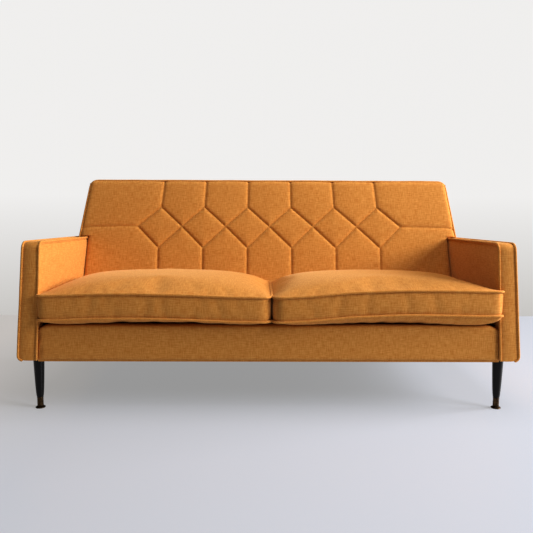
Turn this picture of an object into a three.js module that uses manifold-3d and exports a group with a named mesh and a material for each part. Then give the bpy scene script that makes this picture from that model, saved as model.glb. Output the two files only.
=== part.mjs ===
// A two-seat upholstered sofa on four turned wooden legs, millimetres, +Z up.
// The hardwood frame, webbing, pads, panels, loose cushions and feet are separate pieces.
// The origin is on the floor under the middle of the sofa; the sofa faces -Y.
// Left and right are as seen by someone standing in front of it.

import * as THREE from "three";
import { mergeVertices } from "three/addons/utils/BufferGeometryUtils.js";
import Module from "manifold-3d";

// ---------------------------------------------------------------- driving dimensions

// Overall body. Working coordinates have y = 0 at the arm fronts; the whole is centred at the end.
const BODY_WIDTH = 1800; // over the feet of the arms
const BODY_DEPTH = 748; // arm front to outside back
const LEG_HEIGHT = 187; // floor to the underside of the upholstery
const ARM_HEIGHT = 611; // floor to the top of the arm at its front
const BACK_HEIGHT = 851; // floor to the top edge of the back

// Arms: leaning slabs with a front and top strip between an inner pad and an outer panel.
const ARM_LEAN_OUTSIDE = 35; // how far the outer face leans in from its foot to its top
const ARM_LEAN_INSIDE = 25; // how far the inner face leans in over the same height
const ARM_TOP_WIDTH = 57;
const ARM_FALL = 18; // how much lower the arm is at the back
const ARM_CORNER = 24; // rounding of the front top corner
const ARM_FOOT_CORNER = 18; // rounding of the outer bottom corner
const OUTER_PANEL = 10;
const INNER_PAD = 16;
const STRIP_THICKNESS = 12;

// Back: a raked padded slab that sits between the arms and spreads over their tops.
const BACK_RAKE = THREE.MathUtils.degToRad(14.3);
const BACK_TOP_INSET = 100; // how far in from the foot of the arm the back's top corner is
const BACK_SIDE_TAPER = 0.163; // widening of each side per unit of height, going down
const BACK_CORNER = 16;
const BACK_PAD = 48;
const BACK_BORDER = 10; // thickness of the strip over the top and sides
const OUTSIDE_BACK = 8;

// Seat: a deck on webbing with two loose box cushions.
const SEAT_DEPTH = 488; // arm front to the back pad, at deck level
const RAIL_HEIGHT = 115; // height of the hardwood seat rails
const RAIL_THICKNESS = 28;
const RAIL_COVER = 10;
const RAIL_COVER_SETBACK = 5;
const RAIL_COVER_TOP = 5;
const RAIL_COVER_CORNER = 9;
const DECK_THICKNESS = 7;
const CUSHION_BOX = 108; // height of a cushion at its edges
const CUSHION_CROWN = 50;
const CUSHION_BELLY = 12; // how much the lower front edge is lifted clear of the deck
const CUSHION_OVERHANG = 15; // ahead of the arm fronts
const CUSHION_GAP = 3; // between the two cushions
const COVER_THICKNESS = 2;
const ZIP_INSET = 90; // from each end of a cushion to its zip
const ZIP_SLIT = 3;

// Hardwood sections.
const SILL_HEIGHT = 45;
const SILL_INNER = 84; // inner face of a sill, in from the foot of the arm
const POST_DEPTH = 40;
const ARM_RAIL_HEIGHT = 30;
const STRETCHER_WIDTH = 30;
const CORNER_BLOCK = 70;
const BACK_FRAME_DEPTH = 42;
const BACK_POST_WIDTH = 28;
const BACK_RAIL_HEIGHT = 44;
const SEAT_BACK_RAIL_SETBACK = 58; // from the back pad's face to the rail under it

// Webbing.
const WEB_WIDTH = 50;
const WEB_THICKNESS = 2.5;
const SEAT_WEBS = 8;
const SEAT_CROSS_WEBS = 3;
const BACK_WEBS = 8;
const BACK_CROSS_WEBS = 3;

// Legs, ferrules, glides and leg plates.
const FRONT_LEG_INSET = new THREE.Vector2(60, 42); // from the foot of the arm and its front
const REAR_LEG_INSET = new THREE.Vector2(38, 36); // from the foot of the arm and the outside back
const LEG_TOP_RADIUS = 19;
const LEG_FOOT_RADIUS = 11;
const LEG_SWELL = 0.55; // power of the taper; 1 is a straight cone, less is fuller near the foot
const FERRULE_HEIGHT = 33;
const FERRULE_WALL = 1;
const GLIDE_RADIUS = 17.5;
const GLIDE_HEIGHT = 7;
const GLIDE_NECK = 8;
const STEM_RADIUS = 4;
const STEM_LENGTH = 24;
const STUD_RADIUS = 4;
const STUD_LENGTH = 34;
const PLATE_SIZE = 48;
const PLATE_THICKNESS = 2.4;
const DUST_COVER = 1;
const TURNED_SIDES = 24;

// Clearances.
const FIT = 0.3; // between pieces that touch
const RUN = 0.4; // radial, round a stem or stud
const LIFT = 5; // from a lifted cushion to the arms
const TUCK = 5; // between the back and the arms
const REST = 1.5; // under a soft piece that lies on another

// ---------------------------------------------------------------- worked-out levels and planes

const frameBottom = LEG_HEIGHT + PLATE_THICKNESS + 2 * FIT;
const sillTop = frameBottom + SILL_HEIGHT;
const railTop = frameBottom + RAIL_HEIGHT;
const webTop = railTop + FIT + WEB_THICKNESS;
const deckBottom = webTop + FIT;
const deckTop = deckBottom + DECK_THICKNESS;
const cushionBottom = deckTop + REST;
const insideBack = BODY_DEPTH - OUTSIDE_BACK - FIT;
const railFront = RAIL_COVER_SETBACK + RAIL_COVER + FIT;
const sillInnerX = BODY_WIDTH / 2 - SILL_INNER;
const armRise = ARM_HEIGHT - LEG_HEIGHT;
const backSlope = Math.tan(BACK_RAKE);
const upright = Math.cos(BACK_RAKE);

const armOuterX = (z) => BODY_WIDTH / 2 - (ARM_LEAN_OUTSIDE * (z - LEG_HEIGHT)) / armRise;
const armInnerX = (z) =>
  BODY_WIDTH / 2 - ARM_LEAN_OUTSIDE - ARM_TOP_WIDTH + (ARM_LEAN_INSIDE * (ARM_HEIGHT - z)) / armRise;
const armTopZ = (y) => ARM_HEIGHT - (ARM_FALL * y) / BODY_DEPTH;
const backHalfWidth = (z) => BODY_WIDTH / 2 - BACK_TOP_INSET + BACK_SIDE_TAPER * (BACK_HEIGHT - z);

// ---------------------------------------------------------------- materials

const finish = (color, roughness, metalness = 0) =>
  new THREE.MeshStandardMaterial({ color, roughness, metalness });
const fabric = finish("#c77c24", 0.9);
const hardwood = finish("#b08a5c", 0.7);
const webbing = finish("#5a4a38", 0.9);
const lining = finish("#1d1a18", 0.95);
const lacquer = finish("#0d0c0b", 0.3);
const brass = finish("#6b4a2a", 0.4, 1);
const steel = finish("#8d8f92", 0.45, 1);
const foam = finish("#e6d9a8", 0.95);

// ---------------------------------------------------------------- helpers

const wasm = await Module();
wasm.setup();

const sofa = new THREE.Group();

// A geometry as a solid that can be joined and cut.
function solid(geometry) {
  geometry.deleteAttribute("normal");
  geometry.deleteAttribute("uv");
  const merged = mergeVertices(geometry, 1e-3);
  return new wasm.Manifold(
    new wasm.Mesh({
      numProp: 3,
      vertProperties: new Float32Array(merged.attributes.position.array),
      triVerts: new Uint32Array(merged.index.array),
    }),
  );
}

// A solid back as a geometry with flat faces.
function faceted(body) {
  const mesh = body.getMesh();
  const shared = new THREE.BufferGeometry();
  shared.setAttribute("position", new THREE.BufferAttribute(mesh.vertProperties, 3));
  shared.setIndex(new THREE.BufferAttribute(mesh.triVerts, 1));
  const geometry = shared.toNonIndexed();
  geometry.computeVertexNormals();
  return geometry;
}

function place(name, shape, material, parent = sofa) {
  const geometry = shape.isBufferGeometry ? shape : faceted(shape);
  const mesh = new THREE.Mesh(geometry, material);
  mesh.name = name;
  parent.add(mesh);
  return mesh;
}

const mirrored = (body, side) => (side > 0 ? body : body.mirror([1, 0, 0]));
const bothSides = (make) => [["left", -1], ["right", 1]].forEach(([name, side]) => make(name, side));

function block(x0, x1, y0, y1, z0, z1) {
  const box = new THREE.BoxGeometry(x1 - x0, y1 - y0, z1 - z0);
  return solid(box.translate((x0 + x1) / 2, (y0 + y1) / 2, (z0 + z1) / 2));
}

// An outline whose corners are [x, y, rounding].
function outline(corners) {
  const points = corners.map(([x, y]) => new THREE.Vector2(x, y));
  return new THREE.Shape(
    corners.flatMap(([, , rounding = 0], i) => {
      const corner = points[i];
      if (!rounding) return [corner];
      const towards = (other) => other.clone().sub(corner).setLength(rounding).add(corner);
      const from = towards(points.at(i - 1));
      const to = towards(points[(i + 1) % points.length]);
      return new THREE.QuadraticBezierCurve(from, corner, to).getPoints(5);
    }),
  );
}

const extruded = (corners, depth) =>
  new THREE.ExtrudeGeometry(outline(corners), { depth, bevelEnabled: false });

// Corners in x and z, drawn out along y; in y and z, along x; in x and y, along z.
const alongY = (corners, y0, y1) =>
  solid(extruded(corners, y1 - y0).rotateX(Math.PI / 2).translate(0, y1, 0));
const alongX = (corners, x0, x1) =>
  solid(extruded(corners, x1 - x0).rotateX(Math.PI / 2).rotateZ(Math.PI / 2).translate(x0, 0, 0));
const alongZ = (corners, z0, z1) => solid(extruded(corners, z1 - z0).translate(0, 0, z0));

// A turned shape from [radius, height] points, standing on the spot given.
const turned = (profile, x = 0, y = 0, sides = TURNED_SIDES) =>
  solid(
    new THREE.LatheGeometry(profile.map(([r, z]) => new THREE.Vector2(r, z)), sides)
      .rotateX(Math.PI / 2)
      .translate(x, y, 0),
  );

// ---------------------------------------------------------------- arms

// The right arm's whole outline, grown on its inside, top and front by a clearance.
function armForm(grow = 0) {
  const low = LEG_HEIGHT - grow;
  const front = alongX(
    [
      [-grow, low],
      [insideBack + grow, low],
      [insideBack + grow, armTopZ(insideBack) + grow],
      [-grow, ARM_HEIGHT + grow, ARM_CORNER],
    ],
    0,
    BODY_WIDTH,
  );
  const section = alongY(
    [
      [armInnerX(low) - grow, low],
      [armOuterX(low) + grow, low, ARM_FOOT_CORNER],
      [armOuterX(ARM_HEIGHT + grow) + grow, ARM_HEIGHT + grow],
      [armInnerX(ARM_HEIGHT + grow) - grow, ARM_HEIGHT + grow],
    ],
    -BODY_DEPTH,
    2 * BODY_DEPTH,
  );
  return front.intersect(section);
}

// A slice of the right arm between two depths, measured in from its outer and inner faces.
const armSlice = (fromOuter, fromInner, z0, z1, y0, y1) =>
  alongY(
    [
      [armInnerX(z0) + fromInner, z0],
      [armOuterX(z0) - fromOuter, z0],
      [armOuterX(z1) - fromOuter, z1],
      [armInnerX(z1) + fromInner, z1],
    ],
    y0,
    y1,
  );

const armCoreOuter = OUTER_PANEL + FIT;
const armCoreInner = INNER_PAD + FIT;
const padBottom = sillTop + FIT;
const stripInside = STRIP_THICKNESS + FIT;

function armSkins() {
  const form = armForm();
  const reach = BODY_DEPTH * 2;
  const panelOnly = armSlice(-1, 0, LEG_HEIGHT - 1, ARM_HEIGHT + 1, -1, reach).subtract(
    armSlice(OUTER_PANEL, -reach, LEG_HEIGHT - 2, ARM_HEIGHT + 2, -2, reach + 1),
  );
  const padOnly = armSlice(0, 0, padBottom, ARM_HEIGHT + 1, -1, reach).subtract(
    armSlice(-reach, INNER_PAD, padBottom - 1, ARM_HEIGHT + 2, -2, reach + 1),
  );
  // The front of the pad carries on down to the foot of the arm as a thin lip.
  const lip = armSlice(0, 0, LEG_HEIGHT, padBottom + 1, 0, STRIP_THICKNESS).subtract(
    armSlice(-reach, INNER_PAD, LEG_HEIGHT - 1, padBottom + 2, -1, reach),
  );
  const core = armSlice(armCoreOuter, armCoreInner, LEG_HEIGHT - 1, ARM_HEIGHT + 1, -1, reach);
  const inside = alongX(
    [
      [STRIP_THICKNESS, LEG_HEIGHT - 1],
      [reach, LEG_HEIGHT - 1],
      [reach, armTopZ(reach) - STRIP_THICKNESS],
      [STRIP_THICKNESS, ARM_HEIGHT - STRIP_THICKNESS, ARM_CORNER / 2],
    ],
    0,
    BODY_WIDTH,
  );
  return {
    outer_panel: form.intersect(panelOnly),
    inner_pad: form.intersect(padOnly.add(lip)),
    front_strip: form.intersect(core).subtract(inside),
  };
}

// Where the arm's hardwood may reach: under the strip and between the panel and the pad.
function armWood(z0, z1, y0, y1) {
  const underStrip = alongX(
    [
      [stripInside, LEG_HEIGHT],
      [insideBack, LEG_HEIGHT],
      [insideBack, armTopZ(insideBack) - stripInside],
      [stripInside, ARM_HEIGHT - stripInside, ARM_CORNER / 2],
    ],
    0,
    BODY_WIDTH,
  );
  return armSlice(armCoreOuter + FIT, armCoreInner + FIT, z0, z1, y0, y1).intersect(underStrip);
}

function armFrame() {
  const railBottom = armTopZ(insideBack) - stripInside - ARM_RAIL_HEIGHT;
  const rearPost = insideBack - POST_DEPTH;
  return {
    front_post: armWood(padBottom, railBottom - FIT, stripInside, stripInside + POST_DEPTH),
    rear_post: armWood(padBottom, railBottom - FIT, rearPost, insideBack),
    top_rail: armWood(railBottom, ARM_HEIGHT, stripInside, insideBack),
  };
}

const skins = armSkins();
const wood = armFrame();
bothSides((name, side) => {
  Object.entries(skins).forEach(([piece, body]) =>
    place(`${name}_arm_${piece}`, mirrored(body, side), fabric),
  );
  Object.entries(wood).forEach(([piece, body]) =>
    place(`${name}_arm_${piece}`, mirrored(body, side), hardwood),
  );
});

// ---------------------------------------------------------------- seat frame

const innerRail = sillInnerX - FIT;
const rearRailFront = insideBack - RAIL_THICKNESS;
const seatBackRail = SEAT_DEPTH + SEAT_BACK_RAIL_SETBACK;
const sideRailOuter = armInnerX(railTop) - REST;
const sideRailInner = sideRailOuter - RAIL_THICKNESS;

const legSpots = {
  front: new THREE.Vector2(BODY_WIDTH / 2 - FRONT_LEG_INSET.x, FRONT_LEG_INSET.y),
  rear: new THREE.Vector2(BODY_WIDTH / 2 - REAR_LEG_INSET.x, BODY_DEPTH - REAR_LEG_INSET.y),
};
const studHole = (spot) =>
  turned(
    [
      [0, 0],
      [STUD_RADIUS + RUN, 0],
      [STUD_RADIUS + RUN, LEG_HEIGHT + STUD_LENGTH + 1],
      [0, LEG_HEIGHT + STUD_LENGTH + 1],
    ],
    spot.x,
    spot.y,
  );

function sill() {
  const bar = alongY(
    [
      [sillInnerX, frameBottom],
      [armOuterX(frameBottom) - armCoreOuter, frameBottom],
      [armOuterX(sillTop) - armCoreOuter, sillTop],
      [sillInnerX, sillTop],
    ],
    railFront,
    insideBack,
  );
  return bar.subtract(studHole(legSpots.front)).subtract(studHole(legSpots.rear));
}

function cornerBlock(cornerY, towards) {
  const corners = [
    [innerRail, cornerY],
    [innerRail, cornerY + towards * CORNER_BLOCK],
    [innerRail - CORNER_BLOCK, cornerY],
  ];
  return alongZ(towards > 0 ? corners : corners.reverse(), frameBottom, sillTop - FIT);
}

place(
  "front_rail",
  block(-innerRail, innerRail, railFront, railFront + RAIL_THICKNESS, frameBottom, railTop),
  hardwood,
);
place(
  "rear_rail",
  block(-innerRail, innerRail, rearRailFront, insideBack, frameBottom, railTop),
  hardwood,
);
place(
  "seat_back_rail",
  block(
    -sideRailInner + FIT,
    sideRailInner - FIT,
    seatBackRail,
    seatBackRail + RAIL_THICKNESS,
    sillTop + FIT,
    railTop,
  ),
  hardwood,
);
place(
  "centre_stretcher",
  block(
    -STRETCHER_WIDTH / 2,
    STRETCHER_WIDTH / 2,
    railFront + RAIL_THICKNESS + FIT,
    rearRailFront - FIT,
    frameBottom,
    sillTop,
  ),
  hardwood,
);
bothSides((name, side) => {
  place(`${name}_sill`, mirrored(sill(), side), hardwood);
  const sideRail = block(
    sideRailInner,
    sideRailOuter,
    railFront + RAIL_THICKNESS + FIT,
    rearRailFront - FIT,
    sillTop + FIT,
    railTop,
  );
  place(`${name}_side_rail`, mirrored(sideRail, side), hardwood);
  const frontBlock = cornerBlock(railFront + RAIL_THICKNESS + FIT, 1);
  const rearBlock = cornerBlock(rearRailFront - FIT, -1);
  place(`${name}_front_corner_block`, mirrored(frontBlock, side), hardwood);
  place(`${name}_rear_corner_block`, mirrored(rearBlock, side), hardwood);
});

// ---------------------------------------------------------------- seat webbing, deck, rail cover

// Straps across a width and along a length, joined where they cross.
function lattice(width, length, straps, crossStraps) {
  const spread = (count, span, i) => (span - WEB_WIDTH) * (i / (count - 1) - 0.5);
  const pieces = [];
  for (let i = 0; i < straps; i += 1) {
    const x = spread(straps, width, i);
    pieces.push(block(x - WEB_WIDTH / 2, x + WEB_WIDTH / 2, 0, length, 0, WEB_THICKNESS));
  }
  for (let i = 0; i < crossStraps; i += 1) {
    const y = length / 2 + spread(crossStraps + 2, length, i + 1);
    const half = WEB_WIDTH / 2;
    pieces.push(block(-width / 2, width / 2, y - half, y + half, 0, WEB_THICKNESS));
  }
  return pieces.reduce((sum, piece) => sum.add(piece));
}

const seatWidth = 2 * sideRailInner;
const seatWebLength = seatBackRail + RAIL_THICKNESS - railFront;
place(
  "seat_webbing",
  lattice(seatWidth, seatWebLength, SEAT_WEBS, SEAT_CROSS_WEBS).translate([
    0,
    railFront,
    railTop + FIT,
  ]),
  webbing,
);

const deckFront = railFront + RAIL_THICKNESS + 2 * FIT;
place(
  "seat_deck",
  block(
    -sideRailOuter,
    sideRailOuter,
    deckFront,
    SEAT_DEPTH - TUCK,
    deckBottom,
    deckTop,
  ),
  lining,
);

function railCover() {
  const coverTop = deckBottom + RAIL_COVER_TOP;
  const form = alongX(
    [
      [RAIL_COVER_SETBACK, LEG_HEIGHT],
      [railFront - FIT, LEG_HEIGHT],
      [railFront - FIT, deckBottom],
      [deckFront - FIT, deckBottom],
      [deckFront - FIT, coverTop],
      [RAIL_COVER_SETBACK, coverTop, RAIL_COVER_CORNER],
    ],
    -BODY_WIDTH / 2,
    BODY_WIDTH / 2,
  );
  const beside = alongY(
    [
      [-armInnerX(LEG_HEIGHT - 1) + REST, LEG_HEIGHT - 1],
      [armInnerX(LEG_HEIGHT - 1) - REST, LEG_HEIGHT - 1],
      [armInnerX(ARM_HEIGHT) - REST, ARM_HEIGHT],
      [-armInnerX(ARM_HEIGHT) + REST, ARM_HEIGHT],
    ],
    -1,
    BODY_DEPTH,
  );
  return form.intersect(beside);
}
place("front_rail_cover", railCover(), fabric);

place(
  "dust_cover",
  block(
    -innerRail,
    innerRail,
    railFront,
    insideBack,
    frameBottom - FIT - DUST_COVER,
    frameBottom - FIT,
  ),
  lining,
);

// ---------------------------------------------------------------- back

// Pieces of the raked back are made upright with their front at y = 0, then leaned.
const raked = new THREE.Group();
raked.position.set(0, SEAT_DEPTH, deckTop);
raked.rotation.x = -BACK_RAKE;
sofa.add(raked);
const backRise = (BACK_HEIGHT - deckTop) / upright;
const leaned = (body) =>
  body.rotate([-THREE.MathUtils.radToDeg(BACK_RAKE), 0, 0]).translate([0, SEAT_DEPTH, deckTop]);

const armsWithRoom = (room) => {
  const arm = armForm(room);
  return arm.add(mirrored(arm, -1));
};

// The back's front view, inset all round, from a low level to its top.
function backOutline(inset, low) {
  const top = BACK_HEIGHT - inset;
  const bottom = backHalfWidth(low) - inset;
  const corner = Math.max(BACK_CORNER - inset, 1);
  return [
    [-bottom, low],
    [bottom, low],
    [backHalfWidth(top) - inset, top, corner],
    [-backHalfWidth(top) + inset, top, corner],
  ];
}

function backPad() {
  const slab = leaned(
    block(-BODY_WIDTH / 2, BODY_WIDTH / 2, 0, BACK_PAD, REST, backRise + BACK_PAD),
  );
  return slab
    .intersect(alongY(backOutline(0, deckTop), 0, BODY_DEPTH))
    .subtract(armsWithRoom(TUCK));
}
place("back_pad", backPad(), fabric);

function backBorder() {
  const band = alongY(backOutline(0, LEG_HEIGHT), 0, insideBack).subtract(
    alongY(backOutline(BACK_BORDER, LEG_HEIGHT - 1), -1, insideBack + 1),
  );
  const behindPad = leaned(
    block(-BODY_WIDTH, BODY_WIDTH, BACK_PAD + FIT, BODY_DEPTH, -BODY_DEPTH, 2 * BODY_DEPTH),
  );
  const aboveArms = block(-BODY_WIDTH, BODY_WIDTH, 0, BODY_DEPTH, armTopZ(BODY_DEPTH), BODY_DEPTH * 2);
  return band.intersect(behindPad).intersect(aboveArms).subtract(armsWithRoom(REST));
}
place("back_border", backBorder(), fabric);

function outsideBack() {
  const shoulder = armTopZ(BODY_DEPTH);
  const half = [
    [armOuterX(LEG_HEIGHT), LEG_HEIGHT, ARM_FOOT_CORNER],
    [armOuterX(shoulder), shoulder],
    [backHalfWidth(shoulder), shoulder],
    [backHalfWidth(BACK_HEIGHT), BACK_HEIGHT, BACK_CORNER],
  ];
  const otherHalf = half.map(([x, z, rounding]) => [-x, z, rounding]).reverse();
  return alongY([...half, ...otherHalf], BODY_DEPTH - OUTSIDE_BACK, BODY_DEPTH);
}
place("outside_back", outsideBack(), fabric);

// The back's hardwood and webbing lie behind the pad, inside the border.
const backWebFront = BACK_PAD + FIT;
const backFrameFront = backWebFront + WEB_THICKNESS + FIT;
const backFrameRear = backFrameFront + BACK_FRAME_DEPTH;
const postOuter = backHalfWidth(BACK_HEIGHT) - BACK_BORDER - BACK_CORNER;
const postInner = postOuter - BACK_POST_WIDTH;
const backFrameTop = (BACK_HEIGHT - BACK_BORDER - deckTop) / upright - backFrameFront * backSlope - REST;
const backFrameBottom = backFrameRear * backSlope;

const backBar = (x0, x1, z0, z1) => block(x0, x1, backFrameFront, backFrameRear, z0, z1);
const backRail = (name, bottom) =>
  place(
    name,
    backBar(-postInner + FIT, postInner - FIT, bottom, bottom + BACK_RAIL_HEIGHT),
    hardwood,
    raked,
  );
const topRailBottom = backFrameTop - BACK_RAIL_HEIGHT;
backRail("back_top_rail", topRailBottom);
backRail("back_bottom_rail", backFrameBottom);
place(
  "back_centre_post",
  backBar(
    -BACK_POST_WIDTH / 2,
    BACK_POST_WIDTH / 2,
    backFrameBottom + BACK_RAIL_HEIGHT + FIT,
    topRailBottom - FIT,
  ),
  hardwood,
  raked,
);

// A wing block fills the back's side above the arm, between the post and the border.
function wingBlock() {
  const low = ARM_HEIGHT + TUCK;
  const high = BACK_HEIGHT - BACK_BORDER - BACK_RAIL_HEIGHT;
  const side = (z) => backHalfWidth(z) - BACK_BORDER - REST;
  const wedge = alongY(
    [
      [postOuter + FIT, low],
      [side(low), low],
      [side(high), high],
      [postOuter + FIT, high],
    ],
    0,
    BODY_DEPTH,
  );
  const slab = leaned(
    block(0, BODY_WIDTH, backFrameFront, backFrameRear, -BODY_DEPTH, 2 * BODY_DEPTH),
  );
  return wedge.intersect(slab);
}

bothSides((name, side) => {
  const post = backBar(postInner, postOuter, backFrameBottom, backFrameTop);
  place(`${name}_back_post`, mirrored(post, side), hardwood, raked);
  place(`${name}_wing_block`, mirrored(wingBlock(), side), hardwood);
});

place(
  "back_webbing",
  lattice(2 * postOuter, backFrameTop - backFrameBottom, BACK_WEBS, BACK_CROSS_WEBS)
    .rotate([90, 0, 0])
    .translate([0, backWebFront + WEB_THICKNESS, backFrameBottom]),
  webbing,
  raked,
);

// ---------------------------------------------------------------- seat cushions

// A crowned box whose back leans with the back pad; its underside is flat on the deck.
function cushionForm(x0, x1, inset) {
  const box = new THREE.BoxGeometry(1, 1, 1, 12, 8, 2);
  const places = box.attributes.position;
  const bulge = (t) => 1 - (2 * t) ** 4;
  for (let i = 0; i < places.count; i += 1) {
    const across = places.getX(i);
    const along = places.getY(i);
    const middle = bulge(across) * bulge(along);
    const low = cushionBottom + CUSHION_BELLY * (1 - middle) + inset;
    const high = cushionBottom + CUSHION_BOX + CUSHION_CROWN * middle - inset;
    const z = low + (high - low) * (places.getZ(i) + 0.5);
    const front = inset - CUSHION_OVERHANG;
    const rear = SEAT_DEPTH - TUCK + (z - deckTop) * backSlope - inset;
    const x = x0 + inset + (x1 - x0 - 2 * inset) * (across + 0.5);
    places.setXYZ(i, x, front + (rear - front) * (along + 0.5), z);
  }
  return solid(box);
}

// The sewn cover is open at the zip along its rear border, where the foam core goes in.
function seatCushion(side, x0, x1) {
  const middle = cushionBottom + CUSHION_BOX / 2;
  const zipSlit = block(
    x0 + ZIP_INSET,
    x1 - ZIP_INSET,
    SEAT_DEPTH - RAIL_THICKNESS,
    BODY_DEPTH,
    middle - ZIP_SLIT / 2,
    middle + ZIP_SLIT / 2,
  );
  const cover = cushionForm(x0, x1, 0).subtract(cushionForm(x0, x1, COVER_THICKNESS));
  place(`${side}_seat_cushion`, cover.subtract(zipSlit), fabric);
  place(`${side}_cushion_foam`, cushionForm(x0, x1, COVER_THICKNESS + FIT), foam);
}

const cushionReach = armInnerX(ARM_HEIGHT) - LIFT;
seatCushion("left", -cushionReach, -CUSHION_GAP / 2);
seatCushion("right", CUSHION_GAP / 2, cushionReach);

// ---------------------------------------------------------------- legs and feet

const ferruleBottom = GLIDE_HEIGHT + FIT;
const ferruleTop = ferruleBottom + FERRULE_HEIGHT;
const legBottom = ferruleBottom + FERRULE_WALL + FIT;
const legTop = LEG_HEIGHT;
const ferruleBore = LEG_FOOT_RADIUS - FERRULE_WALL;
const stemTop = GLIDE_HEIGHT + STEM_LENGTH;

const shaftFoot = ferruleTop + FIT;
const shaftRise = legTop - 14 - shaftFoot;
const shaftSwell = LEG_TOP_RADIUS - 0.4 - LEG_FOOT_RADIUS + FIT;
const shaft = [0, 0.08, 0.25, 0.5, 0.75, 1].map((share) => [
  LEG_FOOT_RADIUS - FIT + shaftSwell * share ** LEG_SWELL,
  shaftFoot + shaftRise * share,
]);

const legProfile = [
  [0, stemTop + FIT],
  [STEM_RADIUS + RUN, stemTop + FIT],
  [STEM_RADIUS + RUN, legBottom],
  [ferruleBore - FIT, legBottom],
  [ferruleBore - FIT, ferruleTop + FIT],
  ...shaft,
  [LEG_TOP_RADIUS, legTop - 5],
  [LEG_TOP_RADIUS - 1, legTop],
  [STUD_RADIUS, legTop],
  [STUD_RADIUS, legTop + STUD_LENGTH],
  [0, legTop + STUD_LENGTH],
];

const ferruleProfile = [
  [STEM_RADIUS + RUN, ferruleBottom],
  [LEG_FOOT_RADIUS - 0.5, ferruleBottom],
  [LEG_FOOT_RADIUS, ferruleBottom + 1],
  [LEG_FOOT_RADIUS, ferruleTop - 1],
  [LEG_FOOT_RADIUS - 0.3, ferruleTop],
  [ferruleBore, ferruleTop],
  [ferruleBore, ferruleBottom + FERRULE_WALL],
  [STEM_RADIUS + RUN, ferruleBottom + FERRULE_WALL],
  [STEM_RADIUS + RUN, ferruleBottom],
];

const glideProfile = [
  [0, 0],
  [GLIDE_RADIUS - 1, 0],
  [GLIDE_RADIUS, 1],
  [GLIDE_RADIUS, 2.5],
  [GLIDE_RADIUS - 3, 4.2],
  [GLIDE_NECK, GLIDE_HEIGHT],
  [STEM_RADIUS, GLIDE_HEIGHT],
  [STEM_RADIUS, stemTop],
  [0, stemTop],
];

function legPlate(spot) {
  const half = PLATE_SIZE / 2;
  const plateTop = frameBottom - FIT;
  const corners = [[-1, -1], [1, -1], [1, 1], [-1, 1]].map(([i, j]) => [
    spot.x + i * half,
    spot.y + j * half,
    4,
  ]);
  return alongZ(corners, plateTop - PLATE_THICKNESS, plateTop).subtract(studHole(spot));
}

bothSides((name, side) => {
  Object.entries(legSpots).forEach(([end, spot]) => {
    const pieces = [
      ["leg", turned(legProfile, spot.x, spot.y), lacquer],
      ["ferrule", turned(ferruleProfile, spot.x, spot.y), brass],
      ["glide", turned(glideProfile, spot.x, spot.y), brass],
      ["leg_plate", legPlate(spot), steel],
    ];
    pieces.forEach(([piece, body, material]) =>
      place(`${name}_${end}_${piece}`, mirrored(body, side), material),
    );
  });
});

// ---------------------------------------------------------------- the whole

// The sofa's box runs from the cushion fronts to the outside back; its middle is over the origin.
sofa.position.y = (CUSHION_OVERHANG - BODY_DEPTH) / 2;

const part = new THREE.Group();
part.add(sofa);

export default part;
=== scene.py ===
# %% [markdown]
# # A two-seat sofa on turned wooden legs
# The sofa is a hardwood frame with webbing, pads and a woven mustard cover. Its wood, feet and
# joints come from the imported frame. This lesson sews the soft parts round it: arms with piped edges,
# a back with a sewn row of diamonds, a rail cover, and two loose box cushions blown up by the cloth
# solver. Everything is in metres, the sofa faces -Y, and its origin is on the floor under its middle.

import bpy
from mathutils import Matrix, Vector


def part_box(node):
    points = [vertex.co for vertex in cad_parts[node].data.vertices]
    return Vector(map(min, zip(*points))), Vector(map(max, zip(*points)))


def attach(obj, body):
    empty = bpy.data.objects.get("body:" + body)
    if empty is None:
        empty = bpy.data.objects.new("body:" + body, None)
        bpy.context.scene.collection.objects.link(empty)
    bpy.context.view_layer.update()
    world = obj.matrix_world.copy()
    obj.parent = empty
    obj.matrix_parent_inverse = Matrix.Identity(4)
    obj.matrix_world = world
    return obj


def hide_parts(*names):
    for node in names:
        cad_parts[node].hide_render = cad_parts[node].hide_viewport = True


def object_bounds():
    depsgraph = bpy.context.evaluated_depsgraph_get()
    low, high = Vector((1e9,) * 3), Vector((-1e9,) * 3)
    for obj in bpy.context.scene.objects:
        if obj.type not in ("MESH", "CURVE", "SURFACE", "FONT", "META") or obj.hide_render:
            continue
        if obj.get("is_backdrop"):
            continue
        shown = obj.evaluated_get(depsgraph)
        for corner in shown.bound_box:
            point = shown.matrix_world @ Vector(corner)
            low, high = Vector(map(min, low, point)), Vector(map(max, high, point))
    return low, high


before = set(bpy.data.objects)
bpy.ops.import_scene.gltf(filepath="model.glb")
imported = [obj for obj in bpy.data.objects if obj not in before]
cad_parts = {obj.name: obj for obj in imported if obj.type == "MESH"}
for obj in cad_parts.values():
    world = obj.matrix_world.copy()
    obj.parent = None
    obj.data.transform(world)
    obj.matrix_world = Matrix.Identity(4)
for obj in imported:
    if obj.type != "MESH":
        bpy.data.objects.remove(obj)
frame_low, frame_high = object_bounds()
print("frame size in metres:", [round(x, 3) for x in frame_high - frame_low])

# %% The other modules, and a millimetre
import math

import bmesh
import bpy
import numpy as np
from mathutils import Matrix, Vector, noise

MM = 0.001
BOTH_SIDES = (("left", -1), ("right", 1))
SOFA = "sofa_frame"


def placed(name, data):
    """An object in the scene that shows a mesh, a camera or a light."""
    made = bpy.data.objects.new(name, data)
    bpy.context.collection.objects.link(made)
    return made


# %% [markdown]
# ## Camera
# The sofa is seen from the front, from a little above seat height, so the camera stands 2.4 m from
# its middle and looks slightly down. A lens of 39 mm on a 36 mm sensor takes in the whole width.
# The small roll is the tilt of a hand-held camera. Depth of field stays off.

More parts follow.
